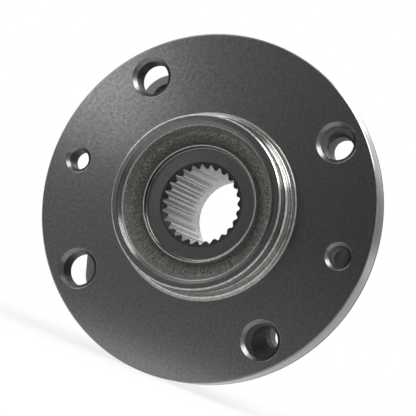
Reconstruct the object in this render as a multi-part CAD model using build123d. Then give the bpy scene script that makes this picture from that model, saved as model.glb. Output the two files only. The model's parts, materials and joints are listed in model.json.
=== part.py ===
"""Wheel hub bearing: a splined, flanged hub carried by two rows of balls in a flanged outer ring.

The bearing axis is Y. The wheel side faces -Y and +Z is up. The origin is on the axis, in the
plane of the hub's mounting face, where the brake disc seats. Depths are measured from that
plane towards the vehicle (+Y), heights from it towards the wheel (-Y). Sizes are millimetres.
"""
import os
from math import acos, cos, pi, radians, sin

from build123d import *

# Hub flange
wheel_bolt_circle = 98.0
flange_rim_past_bolts = 9.7      # from the bolt circle out to the rim
flange_thickness = 9.8
flange_edge_break = 0.4
flange_boss_height = 1.0         # raised ring on the back, which the seal's outer lip runs on
flange_boss_margin = 2.4         # by which that ring is wider than the outer ring
flange_root_radius = 2.0

# Wheel bolt holes, tapped M12, and the two M8 holes that hold the brake disc
wheel_bolt_count = 4
wheel_bolt_first_angle = 45.0
wheel_bolt_core = 11.2
wheel_bolt_sink = 1.3            # depth of the countersink at 45 degrees
disc_screw_circle = 98.0
disc_screw_count = 2
disc_screw_core = 6.8
disc_screw_sink = 1.2
hole_exit_width = 0.8            # by which the holes widen on the back of the flange
hole_exit_depth = 1.8

# Spigot: the wheel centres on its nose and the disc on its root
spigot_height = 11.0
wheel_pilot_diameter = 58.5
disc_pilot_step = 0.7            # of the disc pilot's radius above the wheel pilot's
disc_pilot_root = 1.4
disc_pilot_length = 2.9
pilot_cone_length = 1.1
spigot_foot_width = 1.65
nose_chamfer = 0.5
nose_width = 2.15
nose_step_width = 1.3
nose_step_depth = 1.2
trough_wall = 1.5                # the forged trough inside the nose
trough_depth = 6.4
trough_corner = 1.5

# Axle nut seat
nut_seat_diameter = 38.4
nut_seat_depth = 2.0
nut_seat_rim_height = 1.7        # above the floor of the trough
nut_seat_rim_width = 0.6
nut_seat_rim_slope = 1.0
nut_seat_corner = 0.9

# Splined bore
spline_teeth = 26
spline_minor_diameter = 24.4
spline_tooth_height = 1.25
spline_space_at_major = 0.55     # width of a tooth space at its bottom
spline_land_at_minor = 0.75      # width of a tooth's tip
spline_mouth_chamfer = 1.5
relief_step = 0.35               # of the plain bore's radius above the tooth spaces
relief_length = 9.0

# Hub shaft and the rolled collar that holds the inner ring
collar_bore_step = 3.1           # of the hollow end's radius above the plain bore's
collar_wall = 3.6
collar_height = 4.7              # of the collar's radius above the ring seat
collar_thickness = 4.0
collar_edge_radius = 1.6
collar_hollow_length = 8.7       # from the ring's back face in to the plain bore
trumpet_length = 2.0
trumpet_radius = 3.0
trumpet_lip = 4.4                # width of the collar's flat end face

# Balls and raceways
ball_diameter = 10.319
ball_gap = 1.9                   # least space between the balls of a row
ball_play = 0.08
ball_to_seal = 0.2405
inner_ring_wall = 3.7605         # between the ring seat and the bottom of the raceway
ring_edge_radius = 0.8
shoulder_height = 2.7            # of the loaded side of a raceway above its bottom
lead_in_height = 0.2             # of the open side of a raceway above its bottom

# Outer ring with the flange that bolts to the knuckle
outer_ring_wall = 3.7605         # between the bottom of the raceway and the knuckle pilot
outer_front_step = 0.5           # of the front barrel's radius above the knuckle pilot's
outer_front_gap = 1.4            # between the hub flange and the outer ring
outer_front_length = 7.7         # from the ring's front to its flange
outer_edge_chamfer = 1.0
knuckle_flange_thickness = 9.0
knuckle_flange_edge = 0.7
knuckle_bolt_inset = 8.0         # from the knuckle pilot out to the bolt circle
knuckle_bolt_count = 4
knuckle_bolt_first_angle = 48.3
knuckle_bolt_core = 8.6
knuckle_bolt_sink = 0.95
knuckle_rim_past_bolts = 2.1
lug_radius = 12.0
lug_centre_inset = 3.8           # of a lug's centre inside the bolt circle

# Seals
seal_bore_step = 0.5605          # of the seal bore's radius above the raceway's bottom
seal_pocket_length = 4.0
seal_case_wall = 1.0
seal_web_height = 4.1
seal_lip_gap = 0.1
rubber_skin = 0.6
shaft_lip_land = 0.5             # width of the edge that rubs on the shaft
shaft_lip_setback = 0.4          # of that edge from the side of the case's web
dust_lip_rise = 0.8              # of the wheel-side dust lip's edge above the shaft
dust_lip_height = 1.1            # of that edge from the flange's raised ring
dust_lip_width = 0.4
side_lip_root = 1.0              # of a side lip's foot outside the edge of the case's web
side_lip_foot = 1.2
side_lip_lean = 1.6              # by which its edge flares out past its foot
side_lip_edge = 0.6
slinger_wall = 0.8
slinger_gap = 0.4                # between the slinger's edge and the seal case

# Ball cages
cage_thickness = 4.2
cage_offset = 0.0                # of the cage's middle from the pitch circle
cage_pocket_play = 0.2
cage_back_wall = 1.2
cage_prong_length = 1.8
cage_gap = 0.881                 # between the two cages

# Radii, from the bore outwards
flange_radius = wheel_bolt_circle / 2 + flange_rim_past_bolts
pilot_radius = wheel_pilot_diameter / 2
disc_pilot_radius = pilot_radius + disc_pilot_step
spigot_foot_radius = disc_pilot_radius + spigot_foot_width
nose_face_radius = pilot_radius - nose_width
nose_step_radius = nose_face_radius - nose_step_width
trough_outer_radius = nose_step_radius - trough_wall
nut_seat_radius = nut_seat_diameter / 2
nut_seat_rim_radius = nut_seat_radius + nut_seat_rim_width
trough_inner_radius = nut_seat_rim_radius + nut_seat_rim_slope
spline_minor_radius = spline_minor_diameter / 2
spline_major_radius = spline_minor_radius + spline_tooth_height
spline_mouth_radius = spline_minor_radius + spline_mouth_chamfer
relief_radius = spline_major_radius + relief_step
collar_bore_radius = relief_radius + collar_bore_step
ring_seat_radius = collar_bore_radius + collar_wall
collar_radius = ring_seat_radius + collar_height
trumpet_mouth_radius = collar_radius - trumpet_lip
ball_radius = ball_diameter / 2
groove_radius = ball_radius + ball_play
inner_groove_bottom = ring_seat_radius + inner_ring_wall
pitch_radius = inner_groove_bottom + groove_radius
outer_groove_bottom = pitch_radius + groove_radius
inner_shoulder_radius = inner_groove_bottom + shoulder_height
inner_lead_radius = inner_groove_bottom + lead_in_height
outer_shoulder_radius = outer_groove_bottom - shoulder_height
outer_lead_radius = outer_groove_bottom - lead_in_height
balls_per_row = int(2 * pi * pitch_radius / (ball_diameter + ball_gap))
cage_inner_radius = pitch_radius + cage_offset - cage_thickness / 2
cage_outer_radius = pitch_radius + cage_offset + cage_thickness / 2
seal_bore_radius = outer_groove_bottom + seal_bore_step
case_inner_radius = seal_bore_radius - seal_case_wall
seal_web_radius = case_inner_radius - seal_web_height
lip_radius = inner_shoulder_radius + seal_lip_gap
knuckle_pilot_radius = outer_groove_bottom + outer_ring_wall
outer_front_radius = knuckle_pilot_radius + outer_front_step
flange_boss_radius = outer_front_radius + flange_boss_margin
knuckle_bolt_circle = 2 * (knuckle_pilot_radius + knuckle_bolt_inset)
knuckle_flange_radius = knuckle_bolt_circle / 2 + knuckle_rim_past_bolts
lug_centre_radius = knuckle_bolt_circle / 2 - lug_centre_inset

# Heights above the mounting face, towards the wheel
disc_pilot_top = disc_pilot_root + disc_pilot_length
wheel_pilot_root = disc_pilot_top + pilot_cone_length
nose_step_height = spigot_height - nose_step_depth
trough_height = spigot_height - trough_depth
nut_seat_rim = trough_height + nut_seat_rim_height
nut_seat_height = nut_seat_rim - nut_seat_depth

# Depths behind the mounting face, towards the vehicle
flange_back_depth = flange_thickness + flange_boss_height
outer_front_depth = flange_back_depth + outer_front_gap
knuckle_flange_depth = outer_front_depth + outer_front_length
knuckle_face_depth = knuckle_flange_depth + knuckle_flange_thickness
ball_pocket_reach = ball_radius + cage_pocket_play + cage_back_wall
row_spacing = 2 * ball_pocket_reach + cage_gap
outboard_row_depth = outer_front_depth + seal_pocket_length + ball_to_seal + ball_radius
inboard_row_depth = outboard_row_depth + row_spacing
ring_front_depth = outboard_row_depth + row_spacing / 2
ring_back_depth = inboard_row_depth + ball_radius + ball_to_seal + seal_pocket_length
outboard_web_depth = outer_front_depth + seal_pocket_length - seal_case_wall
inboard_web_depth = ring_back_depth - seal_pocket_length
relief_end_depth = ring_back_depth - collar_hollow_length
spline_end_depth = relief_end_depth - relief_length
collar_end_depth = ring_back_depth + collar_thickness
trumpet_start_depth = ring_back_depth - trumpet_length


def turned(*corners):
    """Solid of revolution about Y. Each corner is (radius, depth) or (radius, depth, rounding)."""
    points = [(corner[0], corner[1]) for corner in corners]
    rounds = [corner[2] if len(corner) > 2 else 0 for corner in corners]
    outline = FilletPolyline(*points, radius=rounds, close=True)
    return revolve(make_face(outline), Axis.Y)


def around(count, radius, first_angle, depth):
    """Places on a circle about Y at one depth, each with its own Z axis along the bearing's +Y."""
    places = []
    for index in range(count):
        angle = radians(first_angle + 360 / count * index)
        point = (radius * cos(angle), depth, radius * sin(angle))
        places.append(Plane(origin=point, x_dir=(1, 0, 0), z_dir=(0, 1, 0)))
    return places


def tapped_hole(place, core, sink, length, exit_width, exit_depth):
    """Cutter for a tapped hole: its core bore, a countersink at 45 degrees and a wider exit."""
    radius = core / 2
    exit_start = place * Pos(0, 0, length - exit_depth)
    upwards = (Align.CENTER, Align.CENTER, Align.MIN)
    cutter = place * Cylinder(radius, length, align=upwards)
    cutter += place * Cone(radius + sink, radius, sink, align=upwards)
    cutter += exit_start * Cone(radius, radius + exit_width, exit_depth, align=upwards)
    return cutter


def raceway(depth):
    """Ring-shaped cutter for the ball groove of the row at this depth."""
    return Pos(0, depth, 0) * Rot(90, 0, 0) * Torus(pitch_radius, groove_radius)


def spline_spaces():
    """Cutter for the spaces between the teeth of the splined bore."""
    minor = spline_minor_radius
    major = spline_major_radius
    pitch = 360 / spline_teeth
    half_mouth = minor * radians(pitch) / 2 - spline_land_at_minor / 2
    half_floor = spline_space_at_major / 2
    slope = (half_mouth - half_floor) / (major - minor)
    inside = minor - spline_tooth_height
    half_inside = half_mouth + slope * (minor - inside)
    space = Polygon((inside, -half_inside), (major, -half_floor), (major, half_floor),
                    (inside, half_inside), align=None)
    plane = Plane(origin=(0, -spigot_height, 0), x_dir=(1, 0, 0), z_dir=(0, 1, 0))
    spaces = Sketch() + [Rot(0, 0, pitch * index) * space for index in range(spline_teeth)]
    return extrude(plane * spaces, spigot_height + spline_end_depth + relief_length / 2)


def hub():
    """Flanged hub: spigot, wheel flange, outboard raceway, ring seat, rolled collar, spline."""
    edge = flange_edge_break
    trough_round = min(trough_corner, 0.4 * (trough_outer_radius - trough_inner_radius))
    body = turned(
        (spigot_foot_radius, 0),
        (disc_pilot_radius + 0.2 * spigot_foot_width, -disc_pilot_root / 2, 0.4),
        (disc_pilot_radius, -disc_pilot_root),
        (disc_pilot_radius, -disc_pilot_top),
        (pilot_radius, -wheel_pilot_root, 0.3),
        (pilot_radius, nose_chamfer - spigot_height),
        (pilot_radius - nose_chamfer, -spigot_height),
        (nose_face_radius, -spigot_height),
        (nose_step_radius, -nose_step_height, 0.4),
        (trough_outer_radius, -trough_height, trough_round),
        (trough_inner_radius, -trough_height, trough_round),
        (nut_seat_rim_radius, -nut_seat_rim),
        (nut_seat_radius, -nut_seat_rim),
        (nut_seat_radius, -nut_seat_height, nut_seat_corner),
        (spline_mouth_radius, -nut_seat_height),
        (spline_minor_radius, spline_mouth_chamfer - nut_seat_height),
        (spline_minor_radius, spline_end_depth),
        (relief_radius, spline_end_depth + relief_radius - spline_minor_radius),
        (relief_radius, relief_end_depth),
        (collar_bore_radius, relief_end_depth + collar_bore_step, 1.0),
        (collar_bore_radius, trumpet_start_depth, trumpet_radius),
        (trumpet_mouth_radius, collar_end_depth, 0.6),
        (collar_radius, collar_end_depth, collar_edge_radius),
        (collar_radius, ring_back_depth),
        (ring_seat_radius, ring_back_depth),
        (ring_seat_radius, ring_front_depth),
        (inner_lead_radius, ring_front_depth),
        (inner_lead_radius, outboard_row_depth),
        (inner_shoulder_radius, outboard_row_depth),
        (inner_shoulder_radius, flange_back_depth, flange_root_radius),
        (flange_boss_radius, flange_back_depth),
        (flange_boss_radius + flange_boss_height, flange_thickness),
        (flange_radius - edge, flange_thickness),
        (flange_radius, flange_thickness - edge),
        (flange_radius, edge),
        (flange_radius - edge, 0),
    )
    body -= raceway(outboard_row_depth)
    body -= spline_spaces()
    for place in around(wheel_bolt_count, wheel_bolt_circle / 2, wheel_bolt_first_angle, 0):
        body -= tapped_hole(place, wheel_bolt_core, wheel_bolt_sink, flange_thickness,
                            hole_exit_width, hole_exit_depth)
    for place in around(disc_screw_count, disc_screw_circle / 2, 0, 0):
        body -= tapped_hole(place, disc_screw_core, disc_screw_sink, flange_thickness,
                            hole_exit_width, hole_exit_depth)
    return body


def inner_ring():
    """Separate inboard inner ring, held on the hub's seat by the rolled collar."""
    body = turned(
        (ring_seat_radius, ring_front_depth),
        (inner_lead_radius, ring_front_depth),
        (inner_lead_radius, inboard_row_depth),
        (inner_shoulder_radius, inboard_row_depth),
        (inner_shoulder_radius, ring_back_depth, ring_edge_radius),
        (ring_seat_radius, ring_back_depth),
    )
    return body - raceway(inboard_row_depth)


def knuckle_flange():
    """Flange of the outer ring: a disc with a rounded lug around each bolt hole."""
    disc = knuckle_flange_radius
    tangent = acos((disc - lug_radius) / lug_centre_radius)
    on_disc = (disc * cos(tangent), disc * sin(tangent))
    on_lug = (lug_centre_radius + lug_radius * cos(tangent), lug_radius * sin(tangent))
    web = Polygon((0, 0), (on_disc[0], -on_disc[1]), (on_lug[0], -on_lug[1]), on_lug, on_disc,
                  align=None)
    lug = web + Pos(lug_centre_radius, 0) * Circle(lug_radius)
    outline = Circle(disc) + [
        Rot(0, 0, -knuckle_bolt_first_angle - 360 / knuckle_bolt_count * index) * lug
        for index in range(knuckle_bolt_count)
    ]
    plane = Plane(origin=(0, knuckle_flange_depth, 0), x_dir=(1, 0, 0), z_dir=(0, 1, 0))
    flange = extrude(plane * outline, knuckle_flange_thickness)
    rims = flange.faces().filter_by(Axis.Y).edges()
    flange = chamfer(rims, knuckle_flange_edge)
    middle = Pos(0, knuckle_flange_depth, 0) * Rot(90, 0, 0)
    return flange - middle * Cylinder(outer_front_radius - outer_edge_chamfer,
                                      4 * knuckle_flange_thickness)


def outer_ring():
    """Stationary outer ring: two raceways, two seal bores, knuckle flange and knuckle pilot."""
    front = outer_front_radius
    pilot = knuckle_pilot_radius
    edge = outer_edge_chamfer
    body = turned(
        (seal_bore_radius, outer_front_depth),
        (front - edge, outer_front_depth),
        (front, outer_front_depth + edge),
        (front, knuckle_flange_depth + edge),
        (pilot, knuckle_flange_depth + edge),
        (pilot, ring_back_depth - edge),
        (pilot - edge, ring_back_depth),
        (seal_bore_radius, ring_back_depth),
        (seal_bore_radius, inboard_web_depth),
        (outer_lead_radius, inboard_web_depth),
        (outer_lead_radius, inboard_row_depth),
        (outer_shoulder_radius, inboard_row_depth),
        (outer_shoulder_radius, outboard_row_depth),
        (outer_lead_radius, outboard_row_depth),
        (outer_lead_radius, outer_front_depth + seal_pocket_length),
        (seal_bore_radius, outer_front_depth + seal_pocket_length),
    )
    body += knuckle_flange()
    body -= raceway(outboard_row_depth)
    body -= raceway(inboard_row_depth)
    for place in around(knuckle_bolt_count, knuckle_bolt_circle / 2, knuckle_bolt_first_angle,
                        knuckle_flange_depth):
        body -= tapped_hole(place, knuckle_bolt_core, knuckle_bolt_sink,
                            knuckle_flange_thickness, knuckle_bolt_sink, knuckle_bolt_sink)
    return body


def cage(row_depth, inward):
    """Crown cage of one row. inward is +1 where its closed ring lies on the +Y side."""
    closed = row_depth + inward * ball_pocket_reach
    open_end = row_depth - inward * cage_prong_length
    body = turned(
        (cage_inner_radius, closed),
        (cage_outer_radius, closed),
        (cage_outer_radius, open_end),
        (cage_inner_radius, open_end),
    )
    for place in around(balls_per_row, pitch_radius, 0, row_depth):
        body -= place * Sphere(ball_radius + cage_pocket_play)
    return body


def seal_case(front_depth, back_depth, web_depth):
    """Pressed steel seal case: a sleeve in the ring's seal bore with a web turned inwards."""
    web_end = web_depth + seal_case_wall
    sleeve = turned(
        (case_inner_radius, front_depth),
        (seal_bore_radius, front_depth),
        (seal_bore_radius, back_depth),
        (case_inner_radius, back_depth),
    )
    web = turned(
        (seal_web_radius, web_depth),
        (case_inner_radius, web_depth),
        (case_inner_radius, web_end),
        (seal_web_radius, web_end),
    )
    return sleeve + web


def outboard_seal_lip():
    """Rubber of the wheel-side seal: a skin on the case's web and three lips on the hub."""
    web = outboard_web_depth
    web_end = web + seal_case_wall
    root = seal_web_radius
    skin_front = web - rubber_skin
    shaft_edge = web_end - shaft_lip_setback
    rub_depth = flange_back_depth + seal_lip_gap
    dust_radius = lip_radius + dust_lip_rise
    dust_depth = rub_depth + dust_lip_height
    side_foot = root + side_lip_root
    side_edge = side_foot + side_lip_lean
    return turned(
        (case_inner_radius, skin_front),
        (case_inner_radius, web),
        (root, web),
        (root, web_end),
        (root - rubber_skin, web_end),
        (lip_radius, shaft_edge),
        (lip_radius, shaft_edge - shaft_lip_land),
        (root - 2 * rubber_skin, web - rubber_skin / 3),
        (dust_radius, dust_depth + dust_lip_width),
        (dust_radius + dust_lip_width, dust_depth),
        (root - rubber_skin, skin_front),
        (side_foot, skin_front),
        (side_edge, rub_depth),
        (side_edge + side_lip_edge, rub_depth + rubber_skin / 3),
        (side_foot + side_lip_foot, skin_front),
    )


def inboard_slinger():
    """Steel slinger on the inner ring: a sleeve with a rim turned outwards over the seal."""
    sleeve_outer = inner_shoulder_radius + slinger_wall
    rim_outer = case_inner_radius - slinger_gap
    rim_back = ring_back_depth - ring_edge_radius
    return turned(
        (inner_shoulder_radius, inboard_web_depth),
        (inner_shoulder_radius, rim_back),
        (rim_outer, rim_back),
        (rim_outer, rim_back - slinger_wall),
        (sleeve_outer, rim_back - slinger_wall),
        (sleeve_outer, inboard_web_depth),
    )


def inboard_seal_lip():
    """Rubber of the vehicle-side seal: a skin on the case's web and two lips on the slinger."""
    web_end = inboard_web_depth + seal_case_wall
    root = seal_web_radius
    sleeve = inner_shoulder_radius + slinger_wall + seal_lip_gap
    rim = ring_back_depth - ring_edge_radius - slinger_wall - seal_lip_gap
    skin_back = web_end + rubber_skin
    shaft_edge = inboard_web_depth + shaft_lip_setback
    side_foot = root + side_lip_root
    side_edge = side_foot + side_lip_lean
    return turned(
        (case_inner_radius, web_end),
        (case_inner_radius, skin_back),
        (side_foot + side_lip_foot, skin_back),
        (side_edge + side_lip_edge / 2, rim),
        (side_edge - side_lip_edge / 2, rim),
        (side_foot, skin_back),
        (root - rubber_skin, skin_back),
        (sleeve, shaft_edge + shaft_lip_land),
        (sleeve, shaft_edge),
        (root - rubber_skin, inboard_web_depth),
        (root, inboard_web_depth),
        (root, web_end),
    )


def write(name, solid):
    """Write one sub-part to its own STEP file."""
    export_step(solid, os.path.join("parts", name + ".step"))


def main():
    """Build every sub-part and write it out."""
    os.makedirs("parts", exist_ok=True)
    write("hub_flange", hub())
    write("inner_ring", inner_ring())
    write("outer_ring", outer_ring())
    write("outboard_cage", cage(outboard_row_depth, 1))
    write("inboard_cage", cage(inboard_row_depth, -1))
    for row, depth in (("outboard", outboard_row_depth), ("inboard", inboard_row_depth)):
        for index, place in enumerate(around(balls_per_row, pitch_radius, 0, depth)):
            write(f"{row}_ball_{index + 1:02d}", place * Sphere(ball_radius))
    write("outboard_seal_case", seal_case(outer_front_depth, outboard_web_depth + seal_case_wall,
                                          outboard_web_depth))
    write("outboard_seal_lip", outboard_seal_lip())
    write("inboard_seal_case", seal_case(inboard_web_depth, ring_back_depth, inboard_web_depth))
    write("inboard_seal_lip", inboard_seal_lip())
    write("inboard_slinger", inboard_slinger())


main()
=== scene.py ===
"""Wheel hub bearing: the finishes of its steel, nylon and rubber pieces, and a studio to see it in.

Laid out as an add-on: settings hold the sizes and colours, operators finish the pieces and set
the stage, and a panel in the 3D view's sidebar lists them. The bearing's axis is Y, its wheel
side faces -Y and +Z is up. Objects, lamps and settings are in metres. The finishes are worked
out in millimetres, with heights counted from the mounting face towards the wheel and depths
away from it.
"""
import json
from math import cos, pi, radians, sin, sqrt

import bpy
from bpy.props import FloatProperty, FloatVectorProperty, PointerProperty
from mathutils import Matrix, Vector


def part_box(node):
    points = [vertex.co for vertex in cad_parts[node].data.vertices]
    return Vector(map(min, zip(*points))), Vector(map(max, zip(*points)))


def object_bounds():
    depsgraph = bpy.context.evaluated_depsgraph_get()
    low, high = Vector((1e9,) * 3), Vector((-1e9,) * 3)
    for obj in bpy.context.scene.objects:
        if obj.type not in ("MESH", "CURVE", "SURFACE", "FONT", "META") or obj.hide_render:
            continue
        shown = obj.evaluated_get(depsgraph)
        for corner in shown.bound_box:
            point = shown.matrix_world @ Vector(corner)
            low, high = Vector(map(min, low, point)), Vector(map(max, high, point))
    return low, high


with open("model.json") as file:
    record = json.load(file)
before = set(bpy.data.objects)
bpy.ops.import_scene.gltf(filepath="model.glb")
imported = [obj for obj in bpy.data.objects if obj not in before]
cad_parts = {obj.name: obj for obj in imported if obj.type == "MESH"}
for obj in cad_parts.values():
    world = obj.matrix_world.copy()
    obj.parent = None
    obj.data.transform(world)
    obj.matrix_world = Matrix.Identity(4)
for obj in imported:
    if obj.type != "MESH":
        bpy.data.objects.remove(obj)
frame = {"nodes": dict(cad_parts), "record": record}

CAD_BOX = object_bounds()
MOUNTS = {mount["name"]: mount for mount in frame["record"]["mounts"]}
MM = 0.001

bl_info = {
    "name": "Wheel hub bearing",
    "version": (1, 0, 0),
    "blender": (4, 5, 0),
    "location": "3D View > Sidebar > Hub bearing",
    "description": "Finishes the pieces of a wheel hub bearing and sets a studio around it",
    "category": "Object",
}


# ---------------------------------------------------------------- sizes, in millimetres

def mount_size(name, size):
    """One size of a mount."""
    return MOUNTS[name]["dims"][size]


def mount_depth(name):
    """How far a mount lies behind the hub's mounting face."""
    return MOUNTS[name]["pos_m"][1] / MM


FLANGE_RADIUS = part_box("hub_flange")[1][0] / MM
PILOT_RADIUS = mount_size("wheel_pilot", "r_mm")
DISC_PILOT_RADIUS = mount_size("disc_pilot", "r_mm")
NUT_SEAT_HEIGHT = -mount_depth("axle_nut_seat")
BOLT_OFFSET = mount_size("wheel_bolts", "pcd_mm") / 2 / sqrt(2)
BOLT_HOLE_RADIUS = mount_size("wheel_bolts", "hole_r_mm")
SCREW_OFFSET = mount_size("disc_screws", "spacing_x_mm") / 2
SCREW_HOLE_RADIUS = mount_size("disc_screws", "hole_r_mm")
KNUCKLE_FACE_DEPTH = mount_depth("knuckle_face")
KNUCKLE_PILOT_RADIUS = mount_size("knuckle_pilot", "r_mm")

# Where one finish of the hub gives way to the next
SPLINE_RADIUS = 14.2        # the splined wall lies inside it
MOUTH_RADIUS = 14.35        # so do the cones at the spline's ends
SEAT_RADIUS = 20.0          # the nut seat ends and the trough begins here
SEAT_FLOOR = 2.2            # the seat's finish reaches this far below its face
TROUGH_FLOOR = 1.0          # and the trough's this far
TROUGH_SHADE_RADIUS = 23.2          # the trough is painted in shade inside it
STROKE_RADIUS = 21.6        # radial strokes lie outside it, below this place along Z, painted pale there as light from above, and are this wide, in radians
STROKE_HEIGHT = -6.0        # below this place along Z,
STROKE_WIDTH = 0.035        # and are this wide, in radians
STEP_RADII = (25.8, 27.2)   # step outside the trough, painted dark between its ridges as shade
STEP_HEIGHT = 9.0
NOSE_LAND = 3.6             # from the pilot in to the trough
SPIGOT_CHAMFER = 0.55       # from the pilot in to its chamfer's edge
SPIGOT_FOOT = 1.7           # from the disc pilot out to the end of its foot
SPIGOT_START = 0.03         # height at which the spigot's finish begins
# Heights of dark lines round the spigot, painted as shade
SPIGOT_SHADE_LINES = ((1.35, 1.6), (4.3, 4.5), (5.3, 5.5), (7.9, 8.1))
RIM_CHAMFER = 0.75          # from the flange's edge in to its chamfer's edge
RIM_SHADE_BAND = (1.2, 4.6)       # depths of the band on the rim that is painted darker, as painted dark reflection
BACK_EDGE = 8.3             # depth of the rim's back edge, painted dark as shade
BOLT_COUNTERSINK = 1.5
SCREW_COUNTERSINK = 1.4

# Edges painted pale as glints: inner and outer radius, least height, and how softly that height
# begins
GLINT_EDGES = ((25.35, 25.85, 9.0, 0.2), (19.2, 19.7, 6.0, 0.2), (31.1, 31.6, -0.05, 0.04))

# Heights and spacing of what only the bump shows
RIDGE_PITCH = 0.35          # ridges on the step, with painted shade between them
PIT_HEIGHT = 0.35           # roughness of the trough
EDGE_HEIGHT = 0.2           # edges painted as glints, and threads
SCALE_HEIGHT = 0.12         # scale on the outer ring's raw skin
POLISH_HEIGHT = 0.0025      # marks on the ground pieces
MOULD_HEIGHT = 0.02         # grain of nylon and rubber

# Where the outer ring's finishes give way, counted out from its knuckle pilot and face
GROUND_MARGIN = 0.3
FACE_MARGIN = 1.6


# ---------------------------------------------------------------- settings

def colour_setting(name, description, default):
    """A colour that the user can change."""
    return FloatVectorProperty(name=name, description=description, default=default, size=3,
                               min=0.0, max=1.0, subtype="COLOR")


def share_setting(name, description, default):
    """A share from 0 to 1, such as a roughness."""
    return FloatProperty(name=name, description=description, default=default, min=0.0, max=1.0,
                         subtype="FACTOR")


def length_setting(name, description, default):
    """A length in metres."""
    return FloatProperty(name=name, description=description, default=default, min=0.0,
                         precision=5, subtype="DISTANCE", unit="LENGTH")


def angle_setting(name, description, degrees):
    """An angle, given in degrees and kept in radians."""
    return FloatProperty(name=name, description=description, default=radians(degrees),
                         subtype="ANGLE", unit="ROTATION")


def power_setting(name, description, watts):
    """Power of a lamp."""
    return FloatProperty(name=name, description=description, default=watts, min=0.0,
                         subtype="POWER", unit="POWER")


class HubSettings(bpy.types.PropertyGroup):
    """Finish of the flanged hub."""
    face_colour: colour_setting("Face", "Turned mounting face", (0.33, 0.34, 0.33))
    face_roughness: share_setting("Face roughness", "Roughness of the mounting face", 0.18)
    groove_pitch: length_setting("Groove pitch", "Feed of the lathe tool per turn", 0.00016)
    groove_depth: length_setting("Groove depth", "Depth of the turning grooves", 0.000006)
    grain_colour: colour_setting("Grain", "Fine dark grain on all surfaces", (0.14, 0.14, 0.14))
    grain_size: length_setting("Grain size", "Width of the grains", 0.001)
    grain_share: share_setting("Grain strength", "How strongly the grain shows", 0.33)
    cloud_colour: colour_setting("Clouds", "Soft stains on all surfaces", (0.12, 0.13, 0.12))
    cloud_size: length_setting("Cloud size", "Width of the stains", 0.009)
    cloud_share: share_setting("Cloud strength", "How strongly the stains show", 0.25)
    rim_colour: colour_setting("Rim", "Turned edge of the flange", (0.28, 0.29, 0.28))
    pilot_colour: colour_setting("Pilots", "Ground side of the spigot", (0.62, 0.62, 0.60))
    pilot_roughness: share_setting("Pilot roughness", "Roughness of the spigot's side", 0.2)
    forged_colour: colour_setting("Forged skin", "Raw trough in the nose", (0.17, 0.163, 0.15))
    pit_colour: colour_setting("Pits", "Bottom of the raw skin's pits", (0.035, 0.033, 0.03))
    peak_colour: colour_setting("Peaks", "High places of the raw skin", (0.46, 0.445, 0.41))
    # Painted shade on the trough's inner side
    trough_shade_colour: colour_setting("Soot", "Dark inner side of the trough", (0.03, 0.028, 0.025))
    # Pale strokes, real marks painted only low in the trough as light from above
    lit_stroke_colour: colour_setting("Strokes", "Radial marks low in the trough",
                                  (0.42, 0.41, 0.38))
    forged_pit: length_setting("Forged pits", "Width of the pits in the raw skin", 0.0005)
    edge_round: length_setting("Edge rounding", "Radius of the worn edges", 0.0003)
    # Painted glints on the trough's edge, the nut seat's edge and the spigot's foot
    edge_glint_colour: colour_setting("Worn edges", "Edges of the trough and of the nut seat",
                                (0.5, 0.48, 0.44))
    # Painted shade: the rim's back edge and dark band, the step's ridges, the spigot's lines, the
    # countersinks
    painted_shade_colour: colour_setting("Dark edges", "Back edge of the rim, and grooves",
                                (0.1, 0.1, 0.1))
    seat_colour: colour_setting("Nut seat", "Machined seat of the axle nut", (0.22, 0.23, 0.22))
    spline_colour: colour_setting("Spline", "Broached bore", (0.66, 0.67, 0.65))
    # Painted shade on the cones at the spline's ends
    mouth_shade_colour: colour_setting("Spline mouth", "Lead-in at the spline's ends",
                                 (0.05, 0.052, 0.05))
    hole_colour: colour_setting("Holes", "Walls of the tapped holes", (0.16, 0.16, 0.155))
    # Painted shade in the thread's roots
    thread_shade_colour: colour_setting("Thread", "Dark turns of the tapped holes' threads",
                                  (0.03, 0.03, 0.03))
    thread_pitch: length_setting("Thread pitch", "Pitch of the tapped holes' threads", 0.00125)


class BearingSettings(bpy.types.PropertyGroup):
    """Finish of the rings, balls, cages and seals."""
    turned_colour: colour_setting("Turned faces", "Outer ring's turned faces",
                                  (0.42, 0.42, 0.41))
    turned_roughness: share_setting("Turned roughness", "Roughness of those faces", 0.34)
    turning_pitch: length_setting("Turning pitch", "Feed of the lathe tool per turn", 0.00022)
    turning_depth: length_setting("Turning depth", "Depth of the turning grooves", 0.000008)
    ground_colour: colour_setting("Ground pilot", "Outside that fits the knuckle",
                                  (0.56, 0.56, 0.54))
    ground_roughness: share_setting("Ground roughness", "Roughness of the ground pilot", 0.22)
    skin_colour: colour_setting("Forged skin", "Raw sides of the flange", (0.20, 0.195, 0.185))
    skin_roughness: share_setting("Skin roughness", "Roughness of the forged skin", 0.56)
    stain_colour: colour_setting("Stains", "Soft stains on the outer ring", (0.1, 0.1, 0.1))
    race_colour: colour_setting("Inner ring", "Ground inner ring", (0.52, 0.52, 0.5))
    race_roughness: share_setting("Inner ring roughness", "Roughness of the inner ring", 0.24)
    ball_colour: colour_setting("Balls", "Polished balls", (0.7, 0.7, 0.69))
    ball_roughness: share_setting("Ball roughness", "Roughness of the balls", 0.08)
    cage_colour: colour_setting("Cages", "Nylon of the cages", (0.022, 0.02, 0.018))
    fibre_colour: colour_setting("Fibres", "Glass fibres in the nylon", (0.05, 0.046, 0.042))
    case_colour: colour_setting("Seal cases", "Pressed steel cases", (0.42, 0.42, 0.41))
    case_roughness: share_setting("Case roughness", "Roughness of the seal cases", 0.34)
    slinger_colour: colour_setting("Slinger", "Rolled steel slinger", (0.58, 0.58, 0.56))
    slinger_roughness: share_setting("Slinger roughness", "Roughness of the slinger", 0.26)
    rubber_colour: colour_setting("Rubber", "Rubber of the seal lips", (0.012, 0.012, 0.013))
    bloom_colour: colour_setting("Bloom", "Pale bloom on the rubber", (0.03, 0.03, 0.031))


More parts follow.
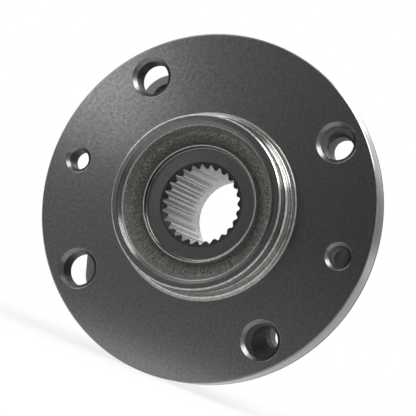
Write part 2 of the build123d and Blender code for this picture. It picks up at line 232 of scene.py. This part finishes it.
class StudioSettings(bpy.types.PropertyGroup):
    """Camera, lamps, floor and room."""
    azimuth: angle_setting("Azimuth", "Camera's turn round the part", 19.883)
    elevation: angle_setting("Elevation", "Camera's height angle", -1.486)
    roll: angle_setting("Roll", "Camera's turn about its own line of sight", 21.1)
    distance: length_setting("Distance", "From the camera to its aim", 0.6514)
    aim_side: length_setting("Aim sideways", "The aim's place along X", 0.00126)
    aim_drop: length_setting("Aim drop", "The aim's place below the axis", 0.00015)
    focal_length: FloatProperty(name="Focal length", description="Lens of the camera, in mm",
                                default=169.8, min=1.0)
    left_power: power_setting("Left lamp", "Small lamp that draws the face's sheen", 0.045)
    top_power: power_setting("Top lamp", "Large lamp above and to the right", 6.0)
    wide_power: power_setting("Wide lamp", "Large lamp in front at the left", 3.5)
    back_power: power_setting("Back lamp", "Lamp behind, for the rim and the bore", 0.22)
    floor_colour: colour_setting("Floor", "Plain pale floor", (0.9, 0.9, 0.9))
    floor_glow: share_setting("Floor glow", "How white the floor shows near the part", 0.8)
    floor_mirror: share_setting("Mirrored floor", "Floor's brightness in polished steel", 0.78)
    room_shade: share_setting("Dark side", "Brightness of the room behind the camera", 0.2)
    fill_shade: share_setting("Fill", "Plain light from all round", 0.55)


# ---------------------------------------------------------------- shader building

class Signal:
    """A number that changes over a surface. Python's operators on it add Math nodes."""

    def __init__(self, nodes, socket):
        self.nodes = nodes
        self.socket = socket

    def math(self, operation, *values):
        """One Math node on these values."""
        return self.nodes.add("ShaderNodeMath", {"operation": operation},
                              dict(enumerate(values)))

    def __add__(self, other):
        return self.math("ADD", self, other)

    def __radd__(self, other):
        return self.math("ADD", other, self)

    def __sub__(self, other):
        return self.math("SUBTRACT", self, other)

    def __rsub__(self, other):
        return self.math("SUBTRACT", other, self)

    def __mul__(self, other):
        return self.math("MULTIPLY", self, other)

    def __rmul__(self, other):
        return self.math("MULTIPLY", other, self)

    def __pow__(self, other):
        return self.math("POWER", self, other)

    def __rpow__(self, other):
        return self.math("POWER", other, self)

    def __neg__(self):
        return self.math("MULTIPLY", self, -1.0)

    def __abs__(self):
        return self.math("ABSOLUTE", self)

    def sine(self):
        return self.math("SINE", self)

    def least(self, other):
        return self.math("MINIMUM", self, other)

    def most(self, other):
        return self.math("MAXIMUM", self, other)

    def above(self, edge, blur=0.1):
        """0 below an edge and 1 above it, with a smooth step as wide as blur."""
        return self.nodes.add("ShaderNodeMapRange", {"interpolation_type": "SMOOTHSTEP"},
                              {"Value": self, "From Min": edge - blur / 2,
                               "From Max": edge + blur / 2})

    def below(self, edge, blur=0.1):
        """1 below an edge and 0 above it."""
        return 1 - self.above(edge, blur)

    def within(self, low, high, blur=0.1):
        """1 between two edges and 0 outside them."""
        return self.above(low, blur) * self.below(high, blur)


class Nodes:
    """The node tree of a material or the world while it is built."""

    def __init__(self, tree):
        self.tree = tree
        self.tree.nodes.clear()

    def add(self, kind, settings=None, inputs=None, result=0):
        """Add a node, set it up, fill its sockets with values or Signals, return a result."""
        node = self.tree.nodes.new(kind)
        for setting, value in (settings or {}).items():
            if setting == "stops":
                self.set_stops(node.color_ramp, value)
            else:
                setattr(node, setting, value)
        for socket, value in (inputs or {}).items():
            if isinstance(value, Signal):
                self.tree.links.new(value.socket, node.inputs[socket])
            else:
                node.inputs[socket].default_value = value
        return Signal(self, node.outputs[result]) if len(node.outputs) else None

    @staticmethod
    def set_stops(ramp, stops):
        """Give a colour ramp its stops, each (place, colour)."""
        while len(ramp.elements) > 1:
            ramp.elements.remove(ramp.elements[-1])
        for index, (place, colour) in enumerate(stops):
            stop = ramp.elements[0] if index == 0 else ramp.elements.new(place)
            stop.position = place
            stop.color = opaque(colour)

    def parts(self, vector, names="XYZ"):
        """Coordinates of a vector, one Signal for each name."""
        return [self.add("ShaderNodeSeparateXYZ", inputs={"Vector": vector}, result=name)
                for name in names]

    def mix(self, factor, first, second):
        """Colour between two colours."""
        first, second = (colour if isinstance(colour, Signal) else opaque(colour)
                         for colour in (first, second))
        return self.add("ShaderNodeMix", {"data_type": "RGBA"},
                        {"Factor": factor, "A": first, "B": second}, "Result")


def opaque(colour):
    """A colour with full alpha."""
    return (*colour[:3], 1.0)


def darker(colour, share):
    """A plain colour at a share of its brightness."""
    return tuple(share * part for part in colour)


class Finish(Nodes):
    """A metal, nylon or rubber surface, in millimetres about the bearing's axis."""

    def __init__(self, name):
        self.material = bpy.data.materials.new(name)
        self.material.use_nodes = True
        super().__init__(self.material.node_tree)
        self.place = self.add("ShaderNodeTexCoord", result="Object")
        self.across, self.depth, self.up = (part * (1 / MM) for part in self.parts(self.place))
        self.radius = (self.across * self.across + self.up * self.up) ** 0.5
        self.angle = self.up.math("ARCTAN2", self.up, self.across)
        normal = self.add("ShaderNodeTexCoord", result="Normal")
        self.facing = abs(self.parts(normal, "Y")[0])

    def distance(self, across, up):
        """Distance from a line along the axis and from its mirror images."""
        across, up = abs(self.across) - across, abs(self.up) - up
        return (across * across + up * up) ** 0.5

    def noise(self, size, detail, roughness=0.5):
        """Cloudy pattern with features of that size, from 0 to 1."""
        return self.add("ShaderNodeTexNoise",
                        inputs={"Vector": self.place, "Scale": 1 / (size * MM),
                                "Detail": detail, "Roughness": roughness})

    def grooves(self, along, pitch):
        """Uneven ridges that repeat along a length, as a lathe leaves them, from 0 to 1."""
        return self.add("ShaderNodeTexNoise", {"noise_dimensions": "1D"},
                        {"W": along, "Scale": 1 / pitch, "Detail": 2.0, "Roughness": 0.6})

    def bump(self, height, distance, below=None):
        """Normal of a surface raised by height times a distance."""
        inputs = {"Height": height, "Distance": distance * MM, "Strength": 1.0}
        if below is not None:
            inputs["Normal"] = below
        return self.add("ShaderNodeBump", inputs=inputs)

    def surface(self, inputs):
        """Close the material with a Principled shader that has these inputs."""
        shader = self.add("ShaderNodeBsdfPrincipled", inputs=inputs)
        self.add("ShaderNodeOutputMaterial", inputs={"Surface": shader})
        return self.material


# ---------------------------------------------------------------- the hub's finish

class HubZones:
    """The hub's surfaces: each is a Signal that is 1 on its surface and 0 off it."""

    def __init__(self, finish):
        radius, depth, height = finish.radius, finish.depth, -finish.depth
        self.wall = finish.facing.below(0.3, 0.2)

        self.rim = radius.above(FLANGE_RADIUS - RIM_CHAMFER)
        # Painted dark reflection: a band across the rim
        self.rim_shade_band = self.rim * depth.within(*RIM_SHADE_BAND, 2.0)
        # Painted shade: the rim's back edge
        self.shaded_back_edge = self.rim * depth.above(BACK_EDGE, 0.6)

        self.spigot = (radius.within(PILOT_RADIUS - SPIGOT_CHAMFER,
                                     DISC_PILOT_RADIUS + SPIGOT_FOOT)
                       * height.above(SPIGOT_START, 0.04))
        # Painted shade: dark lines round the spigot
        lines = sum(height.within(low, high, 0.2) for low, high in SPIGOT_SHADE_LINES)
        self.line = lines.least(1.0) * self.spigot

        self.trough = (radius.below(PILOT_RADIUS - NOSE_LAND, 0.3)
                       * radius.above(SEAT_RADIUS, 0.3)
                       * height.above(NUT_SEAT_HEIGHT - TROUGH_FLOOR, 0.2))
        self.step = radius.within(*STEP_RADII) * height.above(STEP_HEIGHT, 0.2)
        self.seat = (radius.below(SEAT_RADIUS, 0.3)
                     * height.above(NUT_SEAT_HEIGHT - SEAT_FLOOR))
        self.bore = radius.below(SPLINE_RADIUS) * self.wall
        self.mouth = radius.below(MOUTH_RADIUS) * (1 - self.wall)
        # Painted glints: pale edges round the trough, the nut seat and the spigot's foot
        edges = [radius.within(low, high, 0.3) * height.above(least, blur)
                 for low, high, least, blur in GLINT_EDGES]
        self.edge_glints = edges[0].most(edges[1]).most(edges[2])

        from_bolt = finish.distance(BOLT_OFFSET, BOLT_OFFSET)
        from_screw = finish.distance(SCREW_OFFSET, 0)
        inside = from_bolt.below(BOLT_HOLE_RADIUS + BOLT_COUNTERSINK).most(
            from_screw.below(SCREW_HOLE_RADIUS + SCREW_COUNTERSINK))
        self.hole = inside * self.wall
        self.countersink = inside * (1 - self.wall) * finish.facing.below(0.97, 0.02)


def forged_skin(finish, settings):
    """Colour of the raw trough: pitted, with painted shade on its inner side, and radial strokes
    low down painted pale as light from above.
    """
    pits = finish.noise(settings.forged_pit / MM, 3.0, 0.65)
    stops = ((0.36, settings.pit_colour), (0.5, settings.forged_colour),
             (0.64, settings.peak_colour))
    skin = finish.add("ShaderNodeValToRGB", {"stops": stops}, {"Fac": pits}, "Color")
    # Painted shade: the trough is darker on its inner side
    outer_side = finish.radius.above(TROUGH_SHADE_RADIUS, 3.0)
    skin = finish.mix(outer_side, finish.mix(0.45, skin, settings.trough_shade_colour), skin)
    # Real marks, painted pale only on the lower part as light from above
    strokes = (finish.grooves(finish.angle, STROKE_WIDTH).above(0.52, 0.2)
               * finish.radius.above(STROKE_RADIUS, 1.5)
               * finish.up.below(STROKE_HEIGHT, 12.0))
    return finish.mix(strokes * 0.25, skin, settings.lit_stroke_colour)


def hub_steel(settings):
    """Forged and turned steel, with a finish of its own on each surface of the hub."""
    finish = Finish("hub_steel")
    zones = HubZones(finish)
    ridges = finish.grooves(finish.radius, RIDGE_PITCH).above(0.5, 0.15)
    thread = (finish.depth * (2 * pi / settings.thread_pitch * MM)).sine() * 0.5 + 0.5
    clouds = finish.noise(settings.cloud_size / MM, 3.0)
    grain = finish.noise(settings.grain_size / MM, 3.0, 0.7)

    # The threads' roots are painted in shade
    tapped = finish.mix(thread, settings.hole_colour, settings.thread_shade_colour)
    colour = settings.face_colour
    for share, tone in (
            (zones.rim, settings.rim_colour),
            # Painted shade on the rim's back edge, and painted dark reflection in a band on the rim
            (zones.shaded_back_edge.most(zones.rim_shade_band * 0.35), settings.painted_shade_colour),
            # Painted shade between the step's ridges
            (zones.step * ridges, settings.painted_shade_colour),
            (zones.spigot, settings.pilot_colour),
            # Painted shade in the spigot's lines
            (zones.line * 0.8, settings.painted_shade_colour),
            (zones.seat, settings.seat_colour),
            (zones.bore, settings.spline_colour),
            # Painted shade on the spline's mouth cones
            (zones.mouth, settings.mouth_shade_colour),
            # Painted shade in the countersinks
            (zones.countersink * 0.25, settings.painted_shade_colour),
            (zones.hole, tapped),
            (zones.trough, forged_skin(finish, settings)),
            # Painted glints on the edges
            (zones.edge_glints, settings.edge_glint_colour)):
        colour = finish.mix(share, colour, tone)
    stain = finish.mix(0.6, colour, settings.cloud_colour)
    colour = finish.mix(clouds * settings.cloud_share, colour, stain)
    grains = grain.above(0.5, 0.2) * settings.grain_share
    colour = finish.mix(grains, colour, settings.grain_colour)

    roughness = settings.face_roughness + (clouds - 0.5) * 0.03
    for zone, extra in (
            (zones.spigot, settings.pilot_roughness - settings.face_roughness),
            (zones.trough, 0.35), (zones.bore, 0.25), (zones.hole, 0.25), (zones.mouth, 0.3),
            (zones.seat, 0.06), (zones.countersink, 0.12), (zones.shaded_back_edge, 0.6)):
        roughness = roughness + zone * extra
    metal = 1.0 - zones.trough.most(zones.edge_glints) * 0.6 - zones.shaded_back_edge * 0.9

    sideways = zones.rim.most(zones.spigot).most(zones.bore)
    along = finish.radius * (1 - sideways) + finish.depth * sideways
    turned = 1 - zones.trough + zones.spigot - zones.rim * 0.7
    lathe = finish.grooves(along, settings.groove_pitch / MM) * turned
    pits = finish.noise(settings.forged_pit / MM, 4.0, 0.6) * zones.trough
    raised = zones.edge_glints + zones.step * ridges * 0.1 + zones.hole * thread
    normal = finish.add("ShaderNodeBevel", {"samples": 6}, {"Radius": settings.edge_round})
    normal = finish.bump(lathe, settings.groove_depth / MM, normal)
    normal = finish.bump(pits, PIT_HEIGHT, normal)
    normal = finish.bump(raised, EDGE_HEIGHT, normal)
    return finish.surface({"Base Color": colour, "Metallic": metal, "Roughness": roughness,
                           "Normal": normal})


# ---------------------------------------------------------------- finishes of the other pieces

def ring_steel(settings):
    """Forged outer ring: raw skin round the flange, turned faces, ground pilot, drilled holes."""
    finish = Finish("ring_steel")
    radius, depth = finish.radius, finish.depth
    flat = finish.facing.above(0.8)
    on_pilot = (radius.below(KNUCKLE_PILOT_RADIUS + GROUND_MARGIN)
                * depth.above(KNUCKLE_FACE_DEPTH + GROUND_MARGIN, 0.2))
    raw = (1 - flat) * radius.above(KNUCKLE_PILOT_RADIUS + FACE_MARGIN, 0.2)
    clouds = finish.noise(6.0, 4.0, 0.6)
    scale = finish.noise(0.9, 4.0, 0.65)

    skin = finish.mix(scale.above(0.5, 0.3), settings.skin_colour,
                      darker(settings.skin_colour, 0.45))
    colour = finish.mix(on_pilot, settings.turned_colour, settings.ground_colour)
    colour = finish.mix(raw, colour, skin)
    colour = finish.mix(clouds * 0.3, colour, finish.mix(0.5, colour, settings.stain_colour))
    turned = settings.turned_roughness
    roughness = (turned + on_pilot * (settings.ground_roughness - turned)
                 + raw * (settings.skin_roughness - turned) + (clouds - 0.5) * 0.08)

    along = radius * flat + depth * (1 - flat)
    grooves = finish.grooves(along, settings.turning_pitch / MM) * (1 - raw)
    normal = finish.bump(grooves, settings.turning_depth / MM)
    normal = finish.bump(scale * raw, SCALE_HEIGHT, normal)
    return finish.surface({"Base Color": colour, "Metallic": 1.0 - raw * 0.35,
                           "Roughness": roughness, "Normal": normal})


def plain_steel(name, colour, roughness, pitch, round_axis=False):
    """Steel of one finish, with ridges that repeat along the axis or, round it, outwards."""
    finish = Finish(name)
    clouds = finish.noise(7.0, 3.0)
    grooves = finish.grooves(finish.radius if round_axis else finish.depth, pitch)
    return finish.surface({"Base Color": finish.mix(clouds * 0.3, colour, darker(colour, 0.7)),
                           "Metallic": 1.0,
                           "Roughness": roughness + (clouds - 0.5) * 0.1,
                           "Normal": finish.bump(grooves, POLISH_HEIGHT)})


def moulded(name, dark, pale, grain_size, detail, roughness, spread):
    """Nylon or rubber, with a fine grain between two colours."""
    finish = Finish(name)
    grain = finish.noise(grain_size, detail)
    return finish.surface({"Base Color": finish.mix(grain, dark, pale),
                           "Roughness": roughness + grain * spread,
                           "Normal": finish.bump(grain, MOULD_HEIGHT)})


def give(slot_name, material):
    """Put a material on the CAD nodes that the record gives this material slot."""
    names = [part["node"] for part in frame["record"]["subparts"]
             if part["material_slot"] == slot_name]
    if not names:
        raise RuntimeError(f"no piece has the material slot {slot_name}")
    for name in names:
        for slot in frame["nodes"][name].material_slots:
            slot.material = material


# ---------------------------------------------------------------- operators for the pieces

class HUB_OT_finish_hub(bpy.types.Operator):
    """Give the flanged hub its turned, ground, forged and broached surfaces"""
    bl_idname = "hub_bearing.finish_hub"
    bl_label = "Finish the hub"

    def execute(self, context):
        give("hub_steel", hub_steel(context.scene.hub_finish))
        return {"FINISHED"}


class HUB_OT_finish_rings(bpy.types.Operator):
    """Finish the forged outer ring and the ground inner ring"""
    bl_idname = "hub_bearing.finish_rings"
    bl_label = "Finish the rings"

    def execute(self, context):
        settings = context.scene.hub_bearing_finish
        give("ring_steel", ring_steel(settings))
        give("bearing_steel", plain_steel("bearing_steel", settings.race_colour,
                                          settings.race_roughness, pitch=0.1))
        return {"FINISHED"}


class HUB_OT_finish_balls(bpy.types.Operator):
    """Polish the balls of both rows"""
    bl_idname = "hub_bearing.finish_balls"
    bl_label = "Finish the balls"

    def execute(self, context):
        settings = context.scene.hub_bearing_finish
        give("ball_steel", plain_steel("ball_steel", settings.ball_colour,
                                       settings.ball_roughness, pitch=3.0))
        return {"FINISHED"}


class HUB_OT_finish_cages(bpy.types.Operator):
    """Give both cages their nylon"""
    bl_idname = "hub_bearing.finish_cages"
    bl_label = "Finish the cages"

    def execute(self, context):
        settings = context.scene.hub_bearing_finish
        give("cage_nylon", moulded("cage_nylon", settings.cage_colour, settings.fibre_colour,
                                   grain_size=0.4, detail=2.0, roughness=0.45, spread=0.2))
        return {"FINISHED"}


class HUB_OT_finish_seals(bpy.types.Operator):
    """Finish the seals' steel cases, the slinger and the rubber lips"""
    bl_idname = "hub_bearing.finish_seals"
    bl_label = "Finish the seals"

    def execute(self, context):
        settings = context.scene.hub_bearing_finish
        give("seal_steel", plain_steel("seal_steel", settings.case_colour,
                                       settings.case_roughness, pitch=0.4, round_axis=True))
        give("slinger_steel", plain_steel("slinger_steel", settings.slinger_colour,
                                          settings.slinger_roughness, pitch=0.3,
                                          round_axis=True))
        give("seal_rubber", moulded("seal_rubber", settings.rubber_colour,
                                    settings.bloom_colour, grain_size=0.6, detail=3.0,
                                    roughness=0.55, spread=0.25))
        return {"FINISHED"}


# ---------------------------------------------------------------- the stage, in metres

FLOOR_SIZE = 12
FLOOR_FAR = 0.45      # the floor is plain white beyond this distance
FLOOR_FRONT = -0.11   # polished steel sees the floor's dark side in front of this place along Y
FRONT_MIRROR = 1.35   # how bright that side is, as a multiple of the dark side of the room
SENSOR_WIDTH = 36     # in millimetres, as lenses are
CLIP_RANGE = (0.01, 100)

# Each lamp's place, width and height; its power is a setting
LAMPS = {
    "left": ((-0.4, -0.75, 0.088), 0.08, 0.08),
    "top": ((0.47, -0.08, 0.83), 0.6, 0.6),
    "wide": ((-0.7, -0.45, 0.5), 0.8, 0.8),
    "back": ((-0.14, 0.93, 0.3), 0.16, 0.2),
}


def rays_seen(nodes):
    """1 for rays that show the background: first straight ones, then glossy ones."""
    camera, glossy, transmitted = (nodes.add("ShaderNodeLightPath", result=f"Is {kind} Ray")
                                   for kind in ("Camera", "Glossy", "Transmission"))
    return camera.most(transmitted), glossy


class HUB_OT_set_stage(bpy.types.Operator):
    """Lay the floor, light the studio and place the camera"""
    bl_idname = "hub_bearing.set_stage"
    bl_label = "Set the stage"

    def execute(self, context):
        scene, settings = context.scene, context.scene.hub_studio
        self.add_floor(settings)
        self.light_world(scene, settings)
        for side, (place, width, height) in LAMPS.items():
            power = getattr(settings, f"{side}_power")
            self.add_softbox(scene, f"{side}_softbox", Vector(place), width, height, power)
        self.add_camera(scene, settings)
        scene.view_settings.view_transform = "Standard"
        return {"FINISHED"}

    def add_floor(self, settings):
        """A pale floor under the part, which shows white and keeps the part's shadow."""
        bpy.ops.object.select_all(action="DESELECT")
        bpy.ops.mesh.primitive_plane_add(size=FLOOR_SIZE, location=(0, 0, CAD_BOX[0][2]))
        floor = bpy.context.active_object
        floor.name = "floor"
        bpy.ops.object.transform_apply(location=True, rotation=True, scale=True)
        material = bpy.data.materials.new("pale_floor")
        material.use_nodes = True
        nodes = Nodes(material.node_tree)
        x, y = nodes.parts(nodes.add("ShaderNodeTexCoord", result="Object"), "XY")
        seen, glossy = rays_seen(nodes)
        far = ((x * x + y * y) ** 0.5).above(FLOOR_FAR, 0.5)
        in_front = y.below(FLOOR_FRONT, 0.12)
        shown = settings.floor_glow + far * (1 - settings.floor_glow)
        front = FRONT_MIRROR * settings.room_shade
        mirrored = settings.floor_mirror - in_front * (settings.floor_mirror - front)
        matt = nodes.add("ShaderNodeBsdfDiffuse",
                         inputs={"Color": opaque(settings.floor_colour)})
        black = nodes.add("ShaderNodeBsdfDiffuse", inputs={"Color": (0, 0, 0, 1)})
        white = nodes.add("ShaderNodeEmission", inputs={"Color": (1, 1, 1, 1), "Strength": 1.0})
        lit = nodes.add("ShaderNodeMixShader", inputs={0: glossy, 1: matt, 2: black})
        both = nodes.add("ShaderNodeMixShader",
                         inputs={0: seen * shown + glossy * mirrored, 1: lit, 2: white})
        nodes.add("ShaderNodeOutputMaterial", inputs={"Surface": both})
        floor.data.materials.append(material)

    def light_world(self, scene, settings):
        """A white room that lights plainly, with a dark side that only polished steel mirrors."""
        world = bpy.data.worlds.new("studio")
        world.use_nodes = True
        nodes = Nodes(world.node_tree)
        seen, glossy = rays_seen(nodes)
        # The direction that is looked in, as the parts of a unit vector
        x, y, z = nodes.parts(nodes.add("ShaderNodeTexCoord", result="Generated"))
        behind_camera = y.below(-0.25, 0.5)
        to_right = x.above(-0.4, 0.25)
        off_level = abs(z).above(0.08, 0.16)
        gap = x.above(-0.31, 0.06) * z.within(0.0, 0.09, 0.04)
        shade = settings.room_shade * (1.1 - to_right * 0.6 + off_level * 0.4 - gap * 0.45)
        grey_panel = x.within(0.1, 0.42) * z.within(0.08, 0.38) * y.above(0.5)
        mirrored = 1 - behind_camera * (1 - shade) - grey_panel * 0.6
        level = seen + (1 - seen) * (glossy * mirrored + (1 - glossy) * settings.fill_shade)
        back = nodes.add("ShaderNodeBackground", inputs={"Color": (1, 1, 1, 1), "Strength": level})
        nodes.add("ShaderNodeOutputWorld", inputs={"Surface": back})
        scene.world = world

    def add_softbox(self, scene, name, place, width, height, power):
        """A soft rectangular lamp that faces the part and that the camera doesn't see."""
        lamp = bpy.data.lights.new(name, "AREA")
        lamp.shape = "RECTANGLE"
        lamp.size = width
        lamp.size_y = height
        lamp.energy = power
        holder = bpy.data.objects.new(name, lamp)
        scene.collection.objects.link(holder)
        holder.location = place
        holder.rotation_mode = "QUATERNION"
        holder.rotation_quaternion = (-place).to_track_quat("-Z", "Y")
        holder.visible_camera = False

    def add_camera(self, scene, settings):
        """A camera that looks at its aim from a turn, a height angle and a distance."""
        lens = bpy.data.cameras.new("camera")
        lens.lens = settings.focal_length
        lens.sensor_width = SENSOR_WIDTH
        lens.clip_start, lens.clip_end = CLIP_RANGE
        camera = bpy.data.objects.new("camera", lens)
        scene.collection.objects.link(camera)
        level = cos(settings.elevation)
        back = Vector((sin(settings.azimuth) * level, -cos(settings.azimuth) * level,
                       sin(settings.elevation)))
        aim = Vector((settings.aim_side, 0, -settings.aim_drop))
        look = (-back).to_track_quat("-Z", "Y").to_matrix().to_4x4()
        camera.matrix_world = (Matrix.Translation(aim + back * settings.distance) @ look
                               @ Matrix.Rotation(settings.roll, 4, "Z"))
        scene.camera = camera


# ---------------------------------------------------------------- panel and registration

OPERATORS = (HUB_OT_finish_hub, HUB_OT_finish_rings, HUB_OT_finish_balls, HUB_OT_finish_cages,
             HUB_OT_finish_seals, HUB_OT_set_stage)


class HUB_PT_panel(bpy.types.Panel):
    """Sidebar panel with the finishes and the stage"""
    bl_idname = "HUB_PT_panel"
    bl_label = "Hub bearing"
    bl_space_type = "VIEW_3D"
    bl_region_type = "UI"
    bl_category = "Hub bearing"

    def draw(self, context):
        for operator in OPERATORS:
            self.layout.operator(operator.bl_idname)
        for settings in (context.scene.hub_finish, context.scene.hub_bearing_finish,
                         context.scene.hub_studio):
            box = self.layout.box()
            for name in settings.__annotations__:
                box.prop(settings, name)


CLASSES = (HubSettings, BearingSettings, StudioSettings, *OPERATORS, HUB_PT_panel)


def register():
    """Make the settings, operators and panel known to Blender."""
    for each in CLASSES:
        bpy.utils.register_class(each)
    bpy.types.Scene.hub_finish = PointerProperty(type=HubSettings)
    bpy.types.Scene.hub_bearing_finish = PointerProperty(type=BearingSettings)
    bpy.types.Scene.hub_studio = PointerProperty(type=StudioSettings)


def unregister():
    """Take them away again."""
    del bpy.types.Scene.hub_finish
    del bpy.types.Scene.hub_bearing_finish
    del bpy.types.Scene.hub_studio
    for each in reversed(CLASSES):
        bpy.utils.unregister_class(each)


def main():
    """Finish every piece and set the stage."""
    register()
    bpy.ops.hub_bearing.finish_hub()
    bpy.ops.hub_bearing.finish_rings()
    bpy.ops.hub_bearing.finish_balls()
    bpy.ops.hub_bearing.finish_cages()
    bpy.ops.hub_bearing.finish_seals()
    bpy.ops.hub_bearing.set_stage()


if __name__ == "__main__":
    main()
